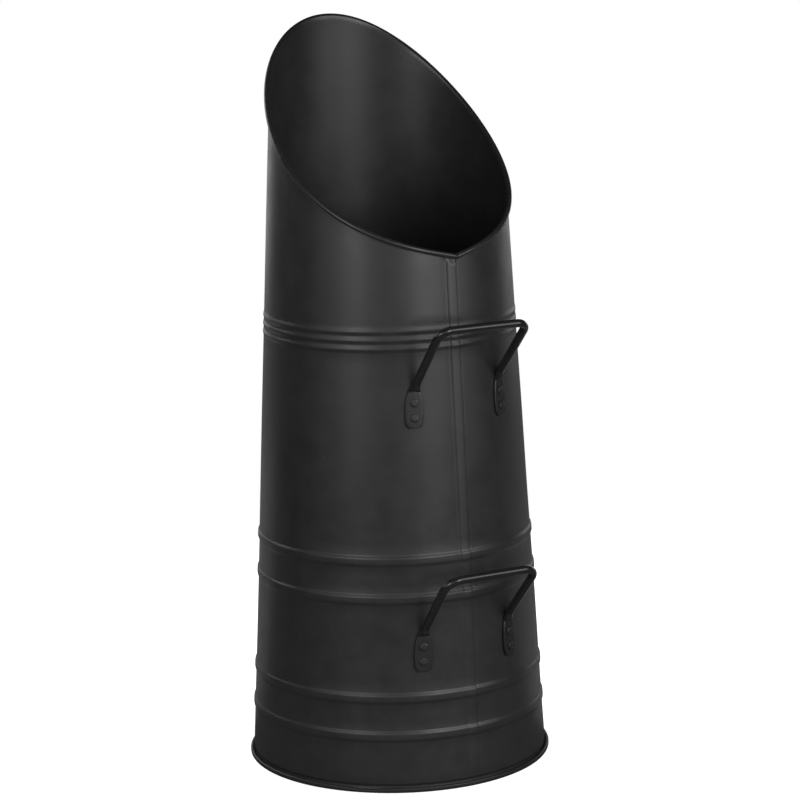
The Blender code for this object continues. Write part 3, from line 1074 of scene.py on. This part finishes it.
def make_softbox(box):
    """Area lamp at its place round the hod."""
    data = bpy.data.lights.new(box.name, "AREA")
    data.shape = "RECTANGLE"
    data.size = box.width
    data.size_y = box.height
    data.energy = box.power
    lamp = bpy.data.objects.new(box.name, data)
    bpy.context.collection.objects.link(lamp)
    out = around(box.azimuth - CAMERA_AZIMUTH) * cos(box.elevation) + at_height(sin(box.elevation))
    lamp.location = at_height(LAMP_AIM_HEIGHT) + out * LAMP_DISTANCE
    lamp.rotation_euler = out.to_track_quat("Z", "Y").to_euler()


# White floor: its radius, how far it lies below the base, and how strongly it glows
FLOOR_REACH = 0.7
FLOOR_SIDES = 96
FLOOR_DROP = 1 * MM
FLOOR_GLOW = 0.93

# Cloths: radius of the gap in which the hod stands, how far they lie below its base, the steps
# round each, how far the grey felt reaches, and the place of the wall and of the canopy over it
CLOTH_GAP = 0.112
CLOTH_DROP = 0.3 * MM
CLOTH_STEPS = 48
FELT_REACH = 0.6
WALL_REACH = 2.7
WALL_HEIGHT = 0.9
CANOPY_HEIGHT = 2.4

# Ends of the dark cloths on the floor and of the wall, counted from the camera, to the right
FLOOR_LEFT = radians(-117)
FLOOR_RIGHT = radians(105)
WALL_LEFT = radians(-140)
WALL_RIGHT = radians(127)
BLACK_VELVET = "1c1c1c"
GREY_FELT = "808080"
WHITE_FELT = "f0f0f0"

# Light of the world, where it isn't seen
AMBIENT = 0.1


def shown_rays(tree):
    """1 for the rays that show the background: seen directly, in a shine, or through glass."""
    path = add_node(tree, "ShaderNodeLightPath").outputs
    shown = path["Is Camera Ray"]
    for ray in ("Is Glossy Ray", "Is Transmission Ray"):
        either = [shown, path[ray]]
        shown = add_node(tree, "ShaderNodeMath", {"operation": "MAXIMUM"}, either).outputs[0]
    return shown


def stage_piece(name, mesh, material):
    """Object of the studio, which isn't part of the hod."""
    data = bpy.data.meshes.new(name)
    mesh.to_mesh(data)
    mesh.free()
    data.materials.append(material)
    piece = bpy.data.objects.new(name, data)
    bpy.context.collection.objects.link(piece)
    return piece


def make_floor(white):
    """A round white floor, which glows to plain white but for the hod's shadow."""
    material, tree = new_material("seamless_paper")
    level = [shown_rays(tree), FLOOR_GLOW]
    glow = add_node(tree, "ShaderNodeMath", {"operation": "MULTIPLY"}, level)
    paper = add_node(tree, "ShaderNodeBsdfDiffuse", Color=(*white, 1))
    light = add_node(tree, "ShaderNodeEmission", Strength=glow.outputs[0])
    both = add_node(tree, "ShaderNodeAddShader", (), [paper.outputs[0], light.outputs[0]])
    add_node(tree, "ShaderNodeOutputMaterial", Surface=both.outputs[0])
    disc = bmesh.new()
    bmesh.ops.create_circle(disc, cap_ends=True, segments=FLOOR_SIDES, radius=FLOOR_REACH)
    bmesh.ops.translate(disc, verts=disc.verts, vec=at_height(-FLOOR_DROP))
    stage_piece("floor", disc, material)


def make_cloths():
    """Lay felt and velvet round the hod, and hang velvet round the front and overhead.

    The camera doesn't see the cloths, and they cast no shadow. They keep the shine of the black
    coat dark, but for the lamps, the felt and the white surroundings low down behind it.
    """
    drop = at_height(-CLOTH_DROP)
    gap, felt_edge, wall_foot = (CLOTH_GAP, 0), (FELT_REACH, 0), (WALL_REACH, 0)
    wall_top = (WALL_REACH, WALL_HEIGHT)
    canopy = (wall_top, (WALL_REACH, CANOPY_HEIGHT), (CLOTH_GAP, CANOPY_HEIGHT))
    front = (FLOOR_LEFT, FLOOR_RIGHT)
    behind = (FLOOR_RIGHT, FLOOR_LEFT + 2 * pi)
    cloths = (
        ("grey_felt", GREY_FELT, (gap, felt_edge), front),
        ("black_velvet_floor", BLACK_VELVET, (felt_edge, wall_foot), front),
        ("white_felt", WHITE_FELT, (gap, wall_foot), behind),
        ("black_velvet_wall", BLACK_VELVET, (wall_foot, wall_top), (WALL_LEFT, WALL_RIGHT)),
        ("black_velvet_canopy", BLACK_VELVET, canopy, (0, 2 * pi)),
    )
    for name, dye, outline, (left, right) in cloths:
        material, tree = new_material(name)
        cloth = add_node(tree, "ShaderNodeBsdfDiffuse", Color=(*linear(dye), 1))
        add_node(tree, "ShaderNodeOutputMaterial", Surface=cloth.outputs[0])
        sheet = bmesh.new()
        start = around(left - CAMERA_AZIMUTH)
        verts = [sheet.verts.new(start * reach + at_height(up) + drop) for reach, up in outline]
        edges = [sheet.edges.new(pair) for pair in zip(verts, verts[1:])]
        bmesh.ops.spin(
            sheet,
            geom=verts + edges,
            cent=(0, 0, 0),
            axis=(0, 0, 1),
            angle=right - left,
            steps=CLOTH_STEPS,
            use_merge=right - left == 2 * pi,
        )
        piece = stage_piece(name, sheet, material)
        piece.visible_camera = False
        piece.visible_shadow = False


def make_world():
    """White where the camera, a shine or glass shows it, and dim as a light."""
    world = bpy.data.worlds.new("studio")
    bpy.context.scene.world = world
    world.use_nodes = True
    tree = world.node_tree
    tree.nodes.clear()
    level = add_node(tree, "ShaderNodeMapRange", Value=shown_rays(tree), To_Min=AMBIENT)
    sky = add_node(
        tree, "ShaderNodeBackground", Color=(1, 1, 1, 1), Strength=level.outputs["Result"]
    )
    add_node(tree, "ShaderNodeOutputWorld", Surface=sky.outputs[0])


class HOD_OT_stage(HodOperator):
    """Set up the floor, the cloths, the lamps and the camera"""

    bl_idname = "hod.stage"
    bl_label = "Stage"

    def execute(self, context):
        context.scene.view_settings.view_transform = "Standard"
        make_camera()
        for box in SOFTBOXES:
            make_softbox(box)
        make_floor(self.finishes.floor_white)
        make_cloths()
        make_world()
        return {"FINISHED"}


class HOD_PT_panel(bpy.types.Panel):
    """Sizes, colours and steps of the log carrier"""

    bl_idname = "HOD_PT_panel"
    bl_label = "Log carrier"
    bl_space_type = "VIEW_3D"
    bl_region_type = "UI"
    bl_category = "Hod"

    def draw(self, context):
        for operator in STEPS:
            self.layout.operator(operator.bl_idname)
        scene = context.scene
        for group in (scene.hod_sizes, scene.handle_sizes, scene.hod_finishes):
            box = self.layout.box()
            for name in group.__annotations__:
                box.prop(group, name)


STEPS = (HOD_OT_body, HOD_OT_base, HOD_OT_wire, HOD_OT_handles, HOD_OT_rivets, HOD_OT_stage)
CLASSES = (HodSizes, HandleSizes, Finishes, *STEPS, HOD_PT_panel)


def register():
    for made in CLASSES:
        bpy.utils.register_class(made)
    bpy.types.Scene.hod_sizes = PointerProperty(type=HodSizes)
    bpy.types.Scene.handle_sizes = PointerProperty(type=HandleSizes)
    bpy.types.Scene.hod_finishes = PointerProperty(type=Finishes)


def unregister():
    del bpy.types.Scene.hod_sizes, bpy.types.Scene.handle_sizes, bpy.types.Scene.hod_finishes
    for made in reversed(CLASSES):
        bpy.utils.unregister_class(made)


def main():
    register()
    bpy.ops.hod.body()
    bpy.ops.hod.base()
    bpy.ops.hod.wire()
    bpy.ops.hod.handles()
    bpy.ops.hod.rivets()
    bpy.ops.hod.stage()


if __name__ == "__main__":
    main()
